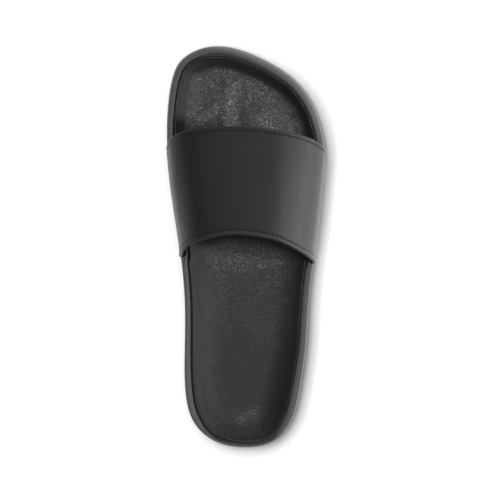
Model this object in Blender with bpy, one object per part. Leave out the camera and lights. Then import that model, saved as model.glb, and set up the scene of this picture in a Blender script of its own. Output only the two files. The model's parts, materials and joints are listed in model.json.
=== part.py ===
"""Sport slide sandal for a right foot: outsole, midsole, footbed and one wide strap.

Metres, +Z up, toes towards +Y and big toe at -X. The origin lies on the floor under the middle of the sole.
"""

from collections import namedtuple

import bmesh
import bpy
import numpy as np

# Plan of the sole
SOLE_LENGTH = 0.280
BALL_WIDTH = 0.111

# Heights above the floor
HEEL_RIM = 0.0350
HEEL_FLOOR = 0.0240
TOE_SPRING = 0.0090
HEEL_SPRING = 0.0020
ARCH_LIFT = 0.0015

# Where the underside starts or stops lifting, as shares of the length from the heel
HEEL_SPRING_END = 0.06
ARCH_START = 0.32
ARCH_END = 0.56
ARCH_EASE = 0.08
TOE_SPRING_START = 0.80

# Outsole
OUTSOLE_THICKNESS = 0.0065
EDGE_BEVEL = 0.0012
LUG_DEPTH = 0.0022
LUG_PITCH = 0.0140
LUG_GROOVE = 0.0052
LUG_ZIGZAG = 0.0050
LUG_BORDER = 0.0085

# Midsole
EDGE_SETBACK = 0.0007
SIDE_FLARE = 0.0026
SIDE_STEP = 0.0006
RIM_WIDTH = 0.0021
RIM_ROUND = 0.0009

# Footbed
FOOTBED_THICKNESS = 0.0040
FOOTBED_GROOVE = 0.0011
LIP_WIDTH = 0.0012
LIP_DROP = 0.0006
BASIN_SLOPE = 0.0190

# Strap
STRAP_THICKNESS = 0.0030
STRAP_PROUD = 0.0005
STRAP_LEAN = 0.0012
INSTEP_HEIGHT = 0.0720
VAMP_HEIGHT = 0.0600
CREST_SHIFT = 0.0040
STRAP_MARGIN = 0.0100
INNER_BEND = 0.0006
HEM_WIDTH = 0.0030
HEM_GROOVE = 0.0004
HEM_ROUND = 0.0010

# Clearance between pieces that meet
GAP = 0.0003

# Mesh density
AROUND = 84
BASIN_COLUMNS = 12
BED_COLUMNS = 8
ARCH_COLUMNS = 20
STRAP_ROWS = 7

# Sole outline: share of the length from the heel, then shares of half the ball width to each side
Station = namedtuple("Station", "along medial lateral")
OUTLINE = (
    Station(0.018, 0.43, 0.36),
    Station(0.065, 0.675, 0.565),
    Station(0.140, 0.775, 0.670),
    Station(0.250, 0.782, 0.750),
    Station(0.360, 0.780, 0.782),
    Station(0.460, 0.820, 0.842),
    Station(0.560, 0.892, 0.908),
    Station(0.660, 0.965, 0.962),
    Station(0.735, 1.000, 0.990),
    Station(0.800, 1.008, 0.938),
    Station(0.870, 0.985, 0.794),
    Station(0.920, 0.940, 0.585),
    Station(0.960, 0.850, 0.280),
    Station(0.985, 0.690, 0.000),
)
HEEL_TIP = -0.04
TOE_TIP = -0.37

# Lengthwise sections, above the toe spring: rims as shares of HEEL_RIM, basin floor of HEEL_FLOOR,
# side flare of SIDE_FLARE and basin slopes of BASIN_SLOPE
Section = namedtuple("Section", "along medial_rim lateral_rim floor flare medial_slope lateral_slope")
SECTIONS = (
    Section(0.00, 0.99, 0.99, 1.02, 1.35, 0.85, 0.85),
    Section(0.10, 1.00, 0.99, 1.00, 1.25, 0.90, 0.90),
    Section(0.28, 0.98, 0.94, 1.00, 0.85, 1.15, 0.95),
    Section(0.42, 0.96, 0.88, 0.97, 0.85, 1.60, 0.95),
    Section(0.56, 0.85, 0.80, 0.84, 0.90, 1.20, 0.85),
    Section(0.72, 0.76, 0.74, 0.74, 1.00, 0.75, 0.70),
    Section(0.86, 0.735, 0.73, 0.73, 1.05, 0.70, 0.62),
    Section(1.00, 0.61, 0.61, 0.54, 1.40, 0.62, 0.62),
)

# Rise of the midsole's side as shares of its height, with its lean as shares of the flare
SideRow = namedtuple("SideRow", "rise lean stepped")
SIDE_ROWS = (
    SideRow(0.20, 0.10, 0),
    SideRow(0.55, 0.36, 0),
    SideRow(0.60, 0.42, 1),
    SideRow(0.82, 0.75, 1),
)

# Where the strap's upright side passes into its arch, as a share of the way over
SHOULDER = 0.12

# Strap edges: share of the way over from the medial seam, then shares of the sole length from its middle
Edge = namedtuple("Edge", "across rear front")
STRAP_EDGES = (
    Edge(0.00, -0.0270, 0.2550),
    Edge(SHOULDER, -0.0165, 0.2620),
    Edge(0.22, -0.0010, 0.2775),
    Edge(0.35, 0.0165, 0.2915),
    Edge(0.50, 0.0292, 0.2985),
    Edge(0.60, 0.0157, 0.2895),
    Edge(0.70, -0.0100, 0.2745),
    Edge(0.80, -0.0300, 0.2550),
    Edge(0.90, -0.0385, 0.2360),
    Edge(1.00, -0.0415, 0.2255),
)
# Fullness of the arch on each side, 2 for an ellipse and more for a boxier one
MEDIAL_ARCH = 2.35
LATERAL_ARCH = 2.15

# How steeply the basin's wall leaves the lip, 1 for a straight slope
BASIN_POWER = 2.3


def smooth_between(rows, column, along):
    """A column of a table read at any place, on a smooth curve through its rows."""
    xs = np.array([row[0] for row in rows])
    ys = np.array([getattr(row, column) for row in rows])
    slopes = np.gradient(ys, xs)
    along = np.clip(along, xs[0], xs[-1])
    k = np.clip(np.searchsorted(xs, along, side="right") - 1, 0, len(xs) - 2)
    width = xs[k + 1] - xs[k]
    t = (along - xs[k]) / width
    rise = (2 * t**3 - 3 * t**2 + 1) * ys[k] + (3 * t**2 - 2 * t**3) * ys[k + 1]
    turn = (t**3 - 2 * t**2 + t) * slopes[k] + (t**3 - t**2) * slopes[k + 1]
    return rise + turn * width


def closed_curve(points, per_span):
    """Points of the smooth closed curve through the given ones, evenly bent at each."""
    points = np.array(points)
    n = len(points)
    step = np.linalg.norm(np.roll(points, -1, axis=0) - points, axis=1)
    before = np.roll(step, 1)
    matrix = np.diag(2 * (step + before))
    for i in range(n):
        matrix[i, i - 1] += before[i]
        matrix[i, (i + 1) % n] += step[i]
    run = (np.roll(points, -1, axis=0) - points) / step[:, None]
    bend = np.linalg.solve(matrix, 6 * (run - np.roll(run, 1, axis=0)))
    after, bend_after = np.roll(points, -1, axis=0), np.roll(bend, -1, axis=0)
    found = []
    for i in range(n):
        h = step[i]
        t = (np.arange(per_span) / per_span * h)[:, None]
        pull = bend[i] * (h - t) ** 3 / (6 * h) + bend_after[i] * t**3 / (6 * h)
        line = (points[i] / h - bend[i] * h / 6) * (h - t) + (after[i] / h - bend_after[i] * h / 6) * t
        found.append(pull + line)
    return np.concatenate(found)


def sole_outline():
    """The sole's plan as a fine closed line from the heel, up the medial side and back down the lateral one."""
    half = BALL_WIDTH / 2
    medial = [(-row.medial * half, (row.along - 0.5) * SOLE_LENGTH) for row in OUTLINE]
    lateral = [(row.lateral * half, (row.along - 0.5) * SOLE_LENGTH) for row in OUTLINE]
    heel = (HEEL_TIP * half, -SOLE_LENGTH / 2)
    toe = (TOE_TIP * half, SOLE_LENGTH / 2)
    line = closed_curve([heel] + medial + [toe] + lateral[::-1], 40)
    low, high = line.min(axis=0), line.max(axis=0)
    line = ((line - low) / (high - low) - 0.5) * (BALL_WIDTH, SOLE_LENGTH)
    return np.roll(line, -int(np.argmin(line[:, 1])), axis=0)


def spread_points(side, count):
    """Points along one side of the outline, closer together where it turns."""
    step = np.diff(side, axis=0)
    length = np.linalg.norm(step, axis=1)
    heading = np.unwrap(np.arctan2(step[:, 1], step[:, 0]))
    turn = np.abs(np.diff(heading, prepend=heading[0]))
    weight = length / length.sum() + turn / turn.sum()
    run = np.concatenate([[0], np.cumsum(weight)]) / weight.sum()
    at = np.linspace(0, 1, count + 1)
    return np.stack([np.interp(at, run, side[:, k]) for k in range(2)], axis=1)


EDGE_LINE = sole_outline()
TOE_INDEX = int(np.argmax(EDGE_LINE[:, 1]))
MEDIAL_LINE = EDGE_LINE[: TOE_INDEX + 1]
LATERAL_LINE = np.concatenate([EDGE_LINE[TOE_INDEX:], EDGE_LINE[:1]])
MEDIAL_POINTS = spread_points(MEDIAL_LINE, AROUND // 2)
LATERAL_POINTS = spread_points(LATERAL_LINE, AROUND // 2)
RING = np.concatenate([MEDIAL_POINTS[:-1], LATERAL_POINTS[:-1]])


def ring_inward():
    """The direction into the sole at each point of the ring."""
    ahead = np.roll(RING, -1, axis=0) - np.roll(RING, 1, axis=0)
    ahead /= np.linalg.norm(ahead, axis=1)[:, None]
    return np.stack([ahead[:, 1], -ahead[:, 0]], axis=1)


INWARD = ring_inward()


def edge_x(y, side):
    """Where the sole's edge lies at a place along the foot, on the medial or the lateral side."""
    line = MEDIAL_LINE if side == "medial" else LATERAL_LINE[::-1]
    return np.interp(y, line[:, 1], line[:, 0])


def along_of(y):
    return y / SOLE_LENGTH + 0.5


def ease(t):
    t = np.clip(t, 0, 1)
    return t * t * (3 - 2 * t)


def lateral_share(x, y):
    """0 on the medial side, 1 on the lateral side, with a soft change over the middle."""
    medial, lateral = edge_x(y, "medial"), edge_x(y, "lateral")
    return ease((x - medial) / np.maximum(lateral - medial, EDGE_BEVEL))


def toe_rise(y):
    """How far the toe's spring lifts the whole sole."""
    share = np.clip((along_of(y) - TOE_SPRING_START) / (1 - TOE_SPRING_START), 0, 1)
    return share**2 * TOE_SPRING


def ground(y):
    """Underside of the sole: flat at heel and forefoot, lifted at the toe, the heel's back and the arch."""
    along = along_of(y)
    heel = np.clip(1 - along / HEEL_SPRING_END, 0, 1) ** 2
    arch = ease((along - ARCH_START) / ARCH_EASE) * ease((ARCH_END - along) / ARCH_EASE)
    return toe_rise(y) + heel * HEEL_SPRING + arch * ARCH_LIFT


def rim_height(x, y):
    """Height of the sole's rim."""
    along = along_of(y)
    medial = smooth_between(SECTIONS, "medial_rim", along)
    lateral = smooth_between(SECTIONS, "lateral_rim", along)
    share = lateral_share(x, y)
    return toe_rise(y) + (medial * (1 - share) + lateral * share) * HEEL_RIM


def inset_from_edge(x, y):
    """Distance in from the sole's edge."""
    points = np.stack([x, y], axis=-1)[..., None, :]
    return np.linalg.norm(points - EDGE_LINE[::2], axis=-1).min(axis=-1)


def flare(y):
    """How far the side wall leans in from the floor to the rim."""
    return smooth_between(SECTIONS, "flare", along_of(y)) * SIDE_FLARE


def footbed_edge(y):
    """How far in from the sole's edge the footbed starts."""
    return EDGE_SETBACK + flare(y) + RIM_WIDTH + FOOTBED_GROOVE


def basin_height(x, y):
    """Top of the footbed: a basin that falls from the lip and runs out into the floor."""
    along = along_of(y)
    share = lateral_share(x, y)
    medial = smooth_between(SECTIONS, "medial_slope", along)
    lateral = smooth_between(SECTIONS, "lateral_slope", along)
    slope = (medial * (1 - share) + lateral * share) * BASIN_SLOPE
    floor = toe_rise(y) + smooth_between(SECTIONS, "floor", along) * HEEL_FLOOR
    depth = rim_height(x, y) - LIP_DROP - floor
    run = np.clip((inset_from_edge(x, y) - footbed_edge(y) - LIP_WIDTH) / slope, 0, 1)
    return floor + depth * (1 - run) ** BASIN_POWER


def ring_at(inset, height):
    """The outline ring moved in by an inset, at heights given by a function of its place."""
    plan = RING + INWARD * np.broadcast_to(inset, (AROUND,))[:, None]
    return np.column_stack([plan, height(plan[:, 0], plan[:, 1])])


def raised(height, rise):
    """The same surface as a height function, moved up or down."""
    return lambda x, y: height(x, y) + rise


def ground_height(x, y):
    return ground(y)


def between(low, high, share):
    """A height function part of the way from one surface to another."""
    return lambda x, y: low(x, y) * (1 - share) + high(x, y) * share


def close_with_ribs(bm, ring, columns, height):
    """Fill a ring with a net of ribs from its medial to its lateral side."""
    half = len(ring) // 2
    heel, toe = ring[0], ring[half]
    ribs = []
    for i in range(1, half):
        left, right = ring[i], ring[-i]
        rib = [left]
        for k in range(1, columns):
            spot = left.co.lerp(right.co, k / columns)
            spot.z = float(height(np.array(spot.x), np.array(spot.y)))
            rib.append(bm.verts.new(spot))
        rib.append(right)
        ribs.append(rib)
    for lower, upper in zip(ribs, ribs[1:]):
        for k in range(columns):
            bm.faces.new((lower[k], lower[k + 1], upper[k + 1], upper[k]))
    for k in range(columns):
        bm.faces.new((heel, ribs[0][k + 1], ribs[0][k]))
        bm.faces.new((toe, ribs[-1][k], ribs[-1][k + 1]))


def add_object(name, bm, material):
    """Turn a finished mesh into the object of one piece."""
    bmesh.ops.recalc_face_normals(bm, faces=bm.faces)
    mesh = bpy.data.meshes.new(name)
    bm.to_mesh(mesh)
    bm.free()
    mesh.shade_smooth()
    mesh.set_sharp_from_angle(angle=0.6)
    piece = bpy.data.objects.new(name, mesh)
    if material is not None:
        mesh.materials.append(material)
    return piece


def lofted_piece(name, rings, base, top, material):
    """A solid through rings, closed below and above by nets of ribs: base and top are (columns, height)."""
    bm = bmesh.new()
    rows = [[bm.verts.new(point) for point in ring] for ring in rings]
    for lower, upper in zip(rows, rows[1:]):
        for i in range(AROUND):
            j = (i + 1) % AROUND
            bm.faces.new((lower[i], lower[j], upper[j], upper[i]))
    close_with_ribs(bm, rows[0], *base)
    close_with_ribs(bm, rows[-1], *top)
    return add_object(name, bm, material)


def plain_material(name, colour, roughness):
    """A plain moulded or coated finish."""
    material = bpy.data.materials.new(name)
    material.use_nodes = True
    shader = material.node_tree.nodes["Principled BSDF"]
    shader.inputs["Base Color"].default_value = (*colour, 1)
    shader.inputs["Roughness"].default_value = roughness
    shader.inputs["Metallic"].default_value = 0.0
    material.diffuse_color = (*colour, 1)
    return material


def make_outsole(material):
    """The bottom layer, with bevelled edges."""
    top = raised(ground_height, OUTSOLE_THICKNESS)
    rings = [
        ring_at(LUG_BORDER, ground_height),
        ring_at(EDGE_BEVEL * 1.6, ground_height),
        ring_at(EDGE_BEVEL * 0.3, raised(ground_height, EDGE_BEVEL * 0.7)),
        ring_at(0.0, raised(ground_height, EDGE_BEVEL * 1.8)),
        ring_at(0.0, raised(top, -EDGE_BEVEL * 0.5)),
        ring_at(EDGE_BEVEL * 0.4, top),
    ]
    return lofted_piece("outsole", rings, (2, ground_height), (4, top), material)


def groove_cutter(number, y):
    """One zigzag channel across the underside, inside the border of the outsole."""
    left = float(edge_x(y, "medial")) + LUG_BORDER
    right = float(edge_x(y, "lateral")) - LUG_BORDER
    count = 2 * max(2, round((right - left) / (4 * LUG_ZIGZAG)))
    low = float(ground(y)) - LUG_DEPTH
    high = float(ground(y)) + LUG_DEPTH
    bm = bmesh.new()
    slices = []
    for k in range(count + 1):
        x = left + (right - left) * k / count
        middle = y + LUG_ZIGZAG * (0.5 if k % 2 else -0.5)
        corners = ((-0.5, low), (0.5, low), (0.32, high), (-0.32, high))
        slices.append([bm.verts.new((x, middle + share * LUG_GROOVE, z)) for share, z in corners])
    for first, second in zip(slices, slices[1:]):
        for k in range(4):
            j = (k + 1) % 4
            bm.faces.new((first[k], first[j], second[j], second[k]))
    bm.faces.new(slices[0])
    bm.faces.new(slices[-1][::-1])
    return add_object(f"groove_cutter_{number}", bm, None)


def groove_places():
    """Places along the foot where a groove crosses the underside, clear of the round ends."""
    room = SOLE_LENGTH / 2 - LUG_BORDER - LUG_PITCH
    count = int(2 * room / LUG_PITCH)
    return [(k - count / 2) * LUG_PITCH for k in range(count + 1)]


def make_midsole(material):
    """The foam body: flared side with a step, a rounded rim, and a bed that takes the footbed."""
    bottom = raised(ground_height, OUTSOLE_THICKNESS + GAP)
    rim = rim_height
    bed = raised(basin_height, -FOOTBED_THICKNESS - GAP)
    edge = footbed_edge(RING[:, 1])
    lean = flare(RING[:, 1])
    top = EDGE_SETBACK + lean
    rings = [
        ring_at(edge, bottom),
        ring_at(EDGE_SETBACK + RIM_ROUND * 0.4, bottom),
        ring_at(EDGE_SETBACK, raised(bottom, RIM_ROUND * 0.5)),
    ]
    for row in SIDE_ROWS:
        inset = EDGE_SETBACK + lean * row.lean + SIDE_STEP * row.stepped
        rings.append(ring_at(inset, between(bottom, rim, row.rise)))
    rings += [
        ring_at(top + SIDE_STEP * 0.7, raised(rim, -RIM_ROUND)),
        ring_at(top + RIM_ROUND, raised(rim, -RIM_ROUND * 0.12)),
        ring_at(top + RIM_WIDTH * 0.68, rim),
        ring_at(top + RIM_WIDTH, raised(rim, -RIM_ROUND * 0.45)),
        ring_at(edge - GAP, raised(rim, -FOOTBED_THICKNESS - LIP_DROP - GAP)),
        ring_at(edge + LIP_WIDTH, bed),
        ring_at(edge + BASIN_SLOPE * 0.22, bed),
    ]
    return lofted_piece("midsole", rings, (2, bottom), (BED_COLUMNS, bed), material)


def make_footbed(material):
    """The moulded insole: a thin lip, a sloped wall and the floor that the foot stands on."""
    under = raised(basin_height, -FOOTBED_THICKNESS)
    lip = raised(rim_height, -LIP_DROP)
    edge = footbed_edge(RING[:, 1])
    inner = edge + LIP_WIDTH
    rings = [
        ring_at(edge + BASIN_SLOPE * 0.22, under),
        ring_at(inner, under),
        ring_at(edge, raised(lip, -FOOTBED_THICKNESS)),
        ring_at(edge, raised(lip, -LIP_WIDTH * 0.6)),
        ring_at(edge + LIP_WIDTH * 0.3, raised(lip, -LIP_WIDTH * 0.1)),
        ring_at(edge + LIP_WIDTH * 0.75, lip),
        ring_at(inner + LIP_WIDTH * 0.4, basin_height),
        ring_at(inner + BASIN_SLOPE * 0.14, basin_height),
        ring_at(inner + BASIN_SLOPE * 0.26, basin_height),
    ]
    return lofted_piece("footbed", rings, (BED_COLUMNS, under), (BASIN_COLUMNS, basin_height), material)


def strap_edge(across, column):
    return smooth_between(STRAP_EDGES, column, across) * SOLE_LENGTH


def crest_height(y):
    """Top of the strap, which falls in a straight line from instep to vamp."""
    rear, front = strap_edge(0.5, "rear"), strap_edge(0.5, "front")
    return INSTEP_HEIGHT + (VAMP_HEIGHT - INSTEP_HEIGHT) * (y - rear) / (front - rear)


def strap_columns():
    """The strap's stops from the medial margin over the arch to the lateral margin: part, share of it, way over."""
    stops = [("margin", 0.0, 0.0), ("margin", 0.6, 0.0)]
    stops += [("bend", share, 0.0) for share in (0.0, 0.35, 0.7)]
    stops += [("side", share, SHOULDER * share) for share in (0.0, 0.35, 0.7)]
    half = ARCH_COLUMNS // 2
    stops += [("arch", k / half, SHOULDER + (0.5 - SHOULDER) * k / half) for k in range(half)]
    over = [("medial", *stop) for stop in stops] + [("medial", "arch", 1.0, 0.5)]
    return over + [("lateral", part, share, 1 - across) for part, share, across in stops[::-1]]


def strap_point(side, part, share, y, grow):
    """A point of the strap's outer face at a place along the foot, and the way that face looks."""
    out = -1.0 if side == "medial" else 1.0
    edge = float(edge_x(y, side)) + out * STRAP_PROUD
    seat = float(ground(y)) + OUTSOLE_THICKNESS + GAP
    shoulder = float(rim_height(np.array(edge), np.array(y)))
    bend = STRAP_THICKNESS + INNER_BEND
    if part == "margin":
        inner = STRAP_MARGIN + grow
        return (edge - out * (inner + (bend - inner) * share), seat), (0.0, -1.0)
    if part == "bend":
        angle = share * np.pi / 2
        face = (out * np.sin(angle), -np.cos(angle))
        return (edge - out * bend + bend * face[0], seat + bend + bend * face[1]), face
    if part == "side":
        return (edge - out * STRAP_LEAN * share, seat + bend + (shoulder - seat - bend) * share), (out, 0.0)
    power = MEDIAL_ARCH if side == "medial" else LATERAL_ARCH
    half = abs(edge - out * STRAP_LEAN + CREST_SHIFT)
    rise = float(crest_height(y)) - shoulder
    angle = share * np.pi / 2
    a, b = np.cos(angle) ** (2 / power), np.sin(angle) ** (2 / power)
    face = np.array([out * a ** (power - 1) / half, b ** (power - 1) / rise])
    face /= np.linalg.norm(face)
    return (-CREST_SHIFT + out * a * half, shoulder + b * rise), tuple(face)


def strap_rows(length):
    """The strap's stops from its rear to its front edge: distance along, thickness share and drop of its face."""
    hem = (
        (0.0, 0.62, 0.0),
        (HEM_ROUND * 0.35, 0.88, 0.0),
        (HEM_ROUND, 1.0, 0.0),
        (HEM_WIDTH * 0.78, 1.0, 0.0),
        (HEM_WIDTH, 1.0, HEM_GROOVE),
        (HEM_WIDTH * 1.22, 1.0, 0.0),
    )
    inner = hem[-1][0]
    middle = [(inner + (length - 2 * inner) * k / STRAP_ROWS, 1.0, 0.0) for k in range(1, STRAP_ROWS)]
    return list(hem) + middle + [(length - at, thick, drop) for at, thick, drop in hem[::-1]]


def strap_mesh(grow):
    """The strap as one closed wall. grow moves all its faces out by a clearance, for the pocket it sits in."""
    bm = bmesh.new()
    outer, inner = [], []
    for side, part, share, across in strap_columns():
        rear = float(strap_edge(across, "rear")) - grow
        front = float(strap_edge(across, "front")) + grow
        outside, inside = [], []
        for at, thick, drop in strap_rows(front - rear):
            y = rear + at
            (x, z), (face_x, face_z) = strap_point(side, part, share, y, grow)
            slack = STRAP_THICKNESS * (1 - thick) / 2
            high = grow - slack - (0.0 if grow else drop)
            low = -STRAP_THICKNESS - grow + slack
            outside.append(bm.verts.new((x + face_x * high, y, z + face_z * high)))
            inside.append(bm.verts.new((x + face_x * low, y, z + face_z * low)))
        outer.append(outside)
        inner.append(inside)
    for sheet in (outer, inner):
        for first, second in zip(sheet, sheet[1:]):
            for k in range(len(first) - 1):
                bm.faces.new((first[k], first[k + 1], second[k + 1], second[k]))
    for column in (0, -1):
        for k in range(len(outer[0]) - 1):
            bm.faces.new((outer[column][k], outer[column][k + 1], inner[column][k + 1], inner[column][k]))
    for row in (0, -1):
        for k in range(len(outer) - 1):
            bm.faces.new((outer[k][row], outer[k + 1][row], inner[k + 1][row], inner[k][row]))
    return bm


def cut_away(piece, cutters):
    """Cut one piece by others, which stay in the file as guides."""
    for cutter in cutters:
        cut = piece.modifiers.new(cutter.name, "BOOLEAN")
        cut.operation = "DIFFERENCE"
        cut.solver = "EXACT"
        cut.object = cutter


def guide_collection():
    guides = bpy.data.collections.new("cutters")
    bpy.context.scene.collection.children.link(guides)
    return guides


def keep_as_guide(piece, guides):
    guides.objects.link(piece)
    piece.hide_render = True
    piece.display_type = "WIRE"


def main():
    for old in list(bpy.data.objects):
        bpy.data.objects.remove(old, do_unlink=True)
    slide = bpy.data.collections.new("slide_sandal")
    bpy.context.scene.collection.children.link(slide)
    guides = guide_collection()

    outsole = make_outsole(plain_material("moulded_rubber", (0.030, 0.030, 0.031), 0.62))
    grooves = [groove_cutter(k + 1, y) for k, y in enumerate(groove_places())]
    midsole = make_midsole(plain_material("moulded_foam", (0.040, 0.040, 0.042), 0.70))
    footbed = make_footbed(plain_material("grained_foam", (0.026, 0.026, 0.027), 0.58))
    strap = add_object("strap", strap_mesh(0.0), plain_material("coated_leather", (0.024, 0.024, 0.026), 0.42))
    pocket = add_object("strap_pocket", strap_mesh(GAP), None)

    for piece in (outsole, midsole, footbed, strap):
        slide.objects.link(piece)
    for cutter in grooves + [pocket]:
        keep_as_guide(cutter, guides)
    cut_away(outsole, grooves)
    cut_away(midsole, [pocket])


main()
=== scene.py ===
"""Looks of a sport slide sandal for a right foot: coated strap, grained footbed and moulded sole."""

import json
import math

import bmesh
import bpy
import numpy as np
from mathutils import Matrix, Vector
from mathutils.bvhtree import BVHTree
from mathutils.kdtree import KDTree

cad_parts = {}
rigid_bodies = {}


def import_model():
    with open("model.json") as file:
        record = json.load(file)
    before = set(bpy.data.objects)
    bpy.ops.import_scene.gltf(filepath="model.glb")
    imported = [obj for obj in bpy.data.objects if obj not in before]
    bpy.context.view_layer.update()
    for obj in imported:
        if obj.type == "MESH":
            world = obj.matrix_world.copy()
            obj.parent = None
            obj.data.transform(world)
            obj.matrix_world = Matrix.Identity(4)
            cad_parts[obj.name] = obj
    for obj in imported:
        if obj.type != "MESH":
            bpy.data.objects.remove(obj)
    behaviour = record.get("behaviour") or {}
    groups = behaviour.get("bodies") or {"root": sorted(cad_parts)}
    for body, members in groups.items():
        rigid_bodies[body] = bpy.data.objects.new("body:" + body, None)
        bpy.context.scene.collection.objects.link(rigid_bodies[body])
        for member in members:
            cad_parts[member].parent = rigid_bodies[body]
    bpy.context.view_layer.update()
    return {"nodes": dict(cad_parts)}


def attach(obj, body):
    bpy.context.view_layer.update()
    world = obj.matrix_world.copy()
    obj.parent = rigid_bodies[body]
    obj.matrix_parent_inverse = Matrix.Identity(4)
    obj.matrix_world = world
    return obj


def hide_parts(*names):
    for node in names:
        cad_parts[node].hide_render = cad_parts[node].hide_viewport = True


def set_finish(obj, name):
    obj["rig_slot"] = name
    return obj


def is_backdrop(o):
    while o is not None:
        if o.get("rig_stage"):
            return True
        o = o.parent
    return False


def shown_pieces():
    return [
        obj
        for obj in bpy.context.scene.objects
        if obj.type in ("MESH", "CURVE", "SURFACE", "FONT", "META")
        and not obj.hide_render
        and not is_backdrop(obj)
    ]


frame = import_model()

bl_info = {
    "name": "Slide Sandal Looks",
    "version": (1, 0, 0),
    "blender": (4, 5, 0),
    "location": "3D View > Sidebar > Slide Sandal",
    "description": "Dresses the solids of a sport slide sandal and sets up a pale studio round it",
    "category": "Object",
}

BODY = "root"

# Distance in metres below which two points count as one
MERGE = 0.00002


def linear(text):
    """An sRGB hex colour as linear red, green and blue."""
    shares = [int(text[k : k + 2], 16) / 255 for k in (1, 3, 5)]
    return tuple(c / 12.92 if c <= 0.04045 else ((c + 0.055) / 1.055) ** 2.4 for c in shares)


def colour_choice(name, text, description):
    return bpy.props.FloatVectorProperty(
        name=name, description=description, default=linear(text), subtype="COLOR", min=0, max=1
    )


def length_choice(name, millimetres, description):
    return bpy.props.FloatProperty(
        name=name, description=description, default=millimetres / 1000, unit="LENGTH", precision=5
    )


def share_choice(name, default, description):
    return bpy.props.FloatProperty(name=name, description=description, default=default, min=0, max=1)


def power_choice(name, default, description):
    return bpy.props.FloatProperty(name=name, description=description, default=default, min=0, unit="POWER")


class StrapLook(bpy.types.PropertyGroup):
    """Sizes and colours of the strap."""

    leather: colour_choice("Leather", "#2b282a", "Colour of the coated leather")
    # The rear hem's paler colour is partly rubbing and partly painted sheen
    hem_rub_and_sheen: colour_choice("Hem leather", "#353133", "Colour of the leather on the rubbed rear hem")
    lining: colour_choice("Lining", "#19191a", "Colour of the knitted lining")
    thread: colour_choice("Thread", "#0c0c0d", "Colour of the hem's stitches")
    hem: length_choice("Hem width", 3.3, "Distance from the strap's edge to the stitch line")
    groove: length_choice("Stitch groove", 0.60, "Depth that the stitches pull into the hem")
    fold: length_choice("Hem fold", 0.22, "How much thicker the folded hem is than the strap")
    pitch: length_choice("Stitch pitch", 3.2, "Distance from one stitch to the next")
    stitch: length_choice("Stitch length", 2.3, "Length of thread that shows in one stitch")
    thread_width: length_choice("Thread width", 0.55, "Diameter of the sewing thread")
    grain: length_choice("Grain", 0.45, "Width of one pebble of the leather's fine grain")
    rib: length_choice("Lining ribs", 0.9, "Distance between the ribs of the knitted lining")


class FootbedLook(bpy.types.PropertyGroup):
    """Sizes and colours of the footbed."""

    foam: colour_choice("Foam", "#1f1c1e", "Colour of the moulded footbed")
    # The crests' paler colour is partly wear and partly painted sheen
    crest: colour_choice("Grain crests", "#8e898d", "Colour of the grain's worn crests")
    grain: length_choice("Grain", 1.2, "Distance between the wrinkles of the embossed grain")
    depth: length_choice("Grain depth", 0.34, "Depth of the creases between the wrinkles")
    lobe: length_choice("Toe ridges", 1.5, "Height of the soft ridges under the toes")
    rim_shift: length_choice("Rim shift", 1.5, "How far the thin medial rim puts the footbed's lip outwards")
    heel_shift: length_choice("Heel shift", 2.8, "How far the thin rim behind the heel puts the lip outwards")
    ledge: length_choice("Groove ledge", 0.95, "Width of the ledge on the floor of the medial groove")


class SoleLook(bpy.types.PropertyGroup):
    """Sizes and colours of midsole and outsole."""

    foam: colour_choice("Midsole foam", "#252324", "Colour of the midsole's smooth rim")
    # The side's paler colour is partly the mould's grit and partly a painted reflection
    side: colour_choice("Midsole side", "#5b595a", "Colour of the midsole's dry, sandy side")
    rubber: colour_choice("Outsole rubber", "#3b3a3b", "Colour of the outsole")
    # The bevel's pale colour is a painted highlight
    bevel: colour_choice("Outsole bevel", "#8f8e8f", "Colour of the scuffed bevel on the upper edge")
    tread: length_choice("Fine tread", 1.8, "Distance between the fine ribs under the outsole")
    tuck: length_choice("Outsole ledge", 1.0, "How far the foot of the midsole's wall is drawn in")
    spark: length_choice("Side texture", 1.1, "Grit of the eroded mould texture on the side")


class StudioLook(bpy.types.PropertyGroup):
    """Camera, floor and lights."""

    camera_height: length_choice("Camera height", 3500, "Height of the camera above the floor")
    camera_offset: length_choice("Camera offset", -65.8, "How far the camera stands to the medial side")
    floor_width: length_choice("Framed width", 344.4, "Width of floor that the picture shows")
    paper: colour_choice("Paper", "#f6f6f6", "Colour of the seamless paper floor")
    room_light: share_choice("Room light", 0.33, "Brightness of the room beyond the softboxes")
    key_power: power_choice("Key light", 6.5, "Power of the small softbox at the lateral toe side")
    top_power: power_choice("Top light", 6.6, "Power of the softbox above the sole")
    strap_power: power_choice("Strap light", 14, "Power of the softbox on the strap")
    side_power: power_choice("Side light", 12.5, "Power of the large softbox beside the strap")
    low_power: power_choice("Bounce light", 40, "Power of the light that comes up from the floor")
    floor_power: power_choice("Floor light", 2.9, "Power of the light on the paper")


def look():
    return bpy.context.scene.slide_looks


class SlideLooks(bpy.types.PropertyGroup):
    """All looks of the slide sandal."""

    strap: bpy.props.PointerProperty(type=StrapLook, name="Strap", description="Looks of the strap")
    footbed: bpy.props.PointerProperty(type=FootbedLook, name="Footbed", description="Looks of the footbed")
    sole: bpy.props.PointerProperty(type=SoleLook, name="Sole", description="Looks of midsole and outsole")
    studio: bpy.props.PointerProperty(type=StudioLook, name="Studio", description="Camera, floor and lights")


def add_node(tree, kind, inputs=None, **settings):
    """Add a shader node with its settings. Inputs are values, sockets, or nodes by their first output."""
    made = tree.nodes.new(f"ShaderNode{kind}")
    for name, value in settings.items():
        setattr(made, name, value)
    for name, value in (inputs or {}).items():
        if isinstance(value, bpy.types.Node):
            value = value.outputs[0]
        if isinstance(value, bpy.types.NodeSocket):
            tree.links.new(value, made.inputs[name])
        else:
            made.inputs[name].default_value = value
    return made


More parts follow.
